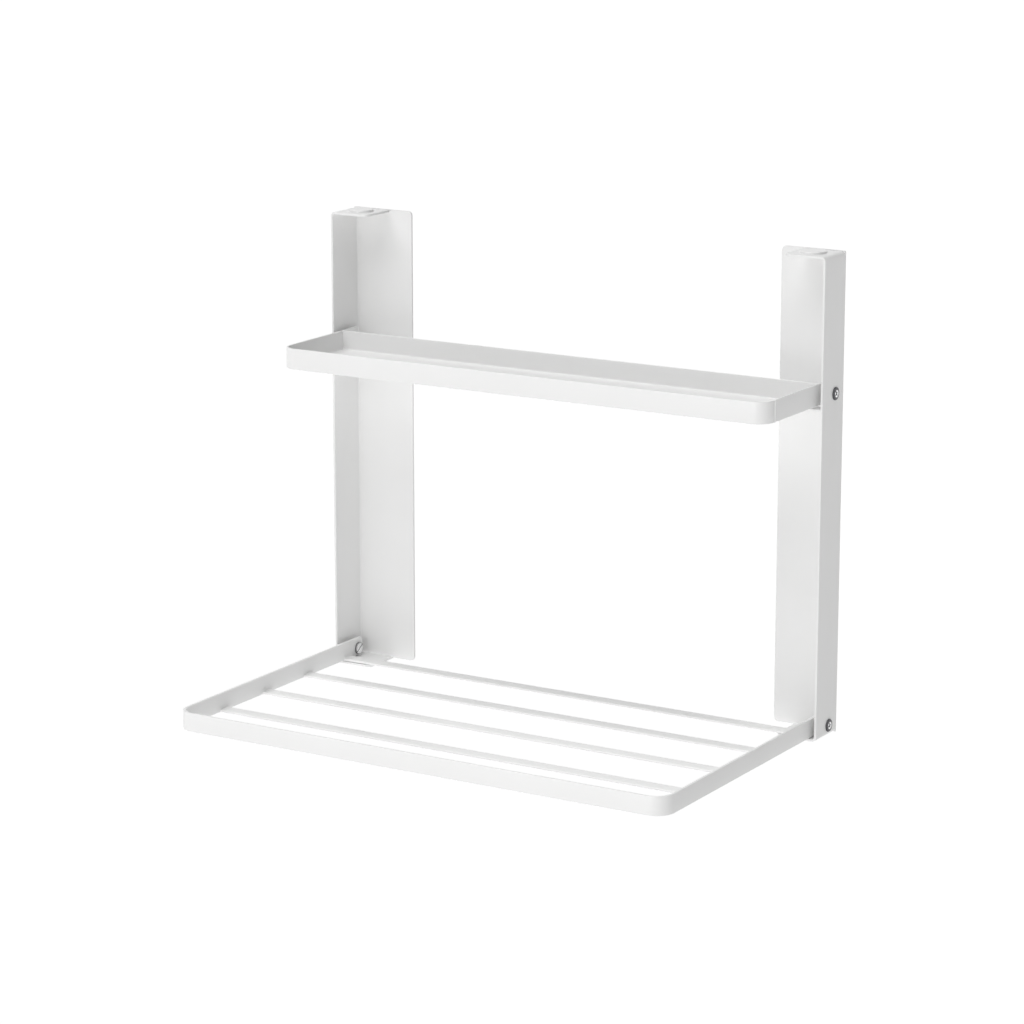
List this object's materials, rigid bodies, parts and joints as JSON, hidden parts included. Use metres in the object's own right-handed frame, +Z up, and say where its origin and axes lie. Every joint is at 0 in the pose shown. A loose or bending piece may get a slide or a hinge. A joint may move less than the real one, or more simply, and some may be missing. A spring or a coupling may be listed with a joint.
{
  "type": "wall mounted fold down drying rack",
  "caption": "Wall-held drying rack in white powder-coated steel: a slatted rack below and a shallow tray above fold up flat between two uprights.",
  "frame": {"origin": "on the wall plane, midway between the two uprights, level with their lower ends", "axes": "+X along the wall to the viewer's right, -Y out from the wall towards the user, +Z up"},
  "size_m": [0.4738, 0.2871, 0.4018],
  "materials": {
    "powder_coat": "semi-gloss white powder coat",
    "zinc_steel": "bright zinc plate",
    "nylon": "satin nylon",
    "magnet_sheet": "matt ferrite rubber",
    "catch_cap": "semi-gloss white enamel",
    "nickel_magnet": "nickel plate"
  },
  "bodies": {
    "wall_frame": {"left_upright": "powder_coat", "right_upright": "powder_coat", "left_magnet_sheet": "magnet_sheet", "right_magnet_sheet": "magnet_sheet", "left_tray_rest": "powder_coat", "right_tray_rest": "powder_coat", "left_catch_cap": "catch_cap", "right_catch_cap": "catch_cap", "left_catch_magnet": "nickel_magnet", "right_catch_magnet": "nickel_magnet", "left_rack_screw": "zinc_steel", "right_rack_screw": "zinc_steel", "left_rack_barrel": "zinc_steel", "right_rack_barrel": "zinc_steel", "left_rack_washer": "nylon", "right_rack_washer": "nylon", "left_tray_screw": "zinc_steel", "right_tray_screw": "zinc_steel", "left_tray_barrel": "zinc_steel", "right_tray_barrel": "zinc_steel", "left_tray_washer": "nylon", "right_tray_washer": "nylon"},
    "rack": {"rack_frame": "powder_coat", "rack_bar_1": "powder_coat", "rack_bar_2": "powder_coat", "rack_bar_3": "powder_coat", "rack_bar_4": "powder_coat"},
    "tray": {"tray_band": "powder_coat", "tray_floor": "powder_coat", "tray_back_strip": "powder_coat"}
  },
  "joints": [
    {"name": "rack_fold", "type": "hinge", "parent": "wall_frame", "child": "rack", "pos_m": [0, -0.0184, 0.0089], "axis": [-1, 0, 0], "range_deg": [0, 90]},
    {"name": "tray_fold", "type": "hinge", "parent": "wall_frame", "child": "tray", "pos_m": [0, -0.0184, 0.28642], "axis": [-1, 0, 0], "range_deg": [0, 90]}
  ]
}
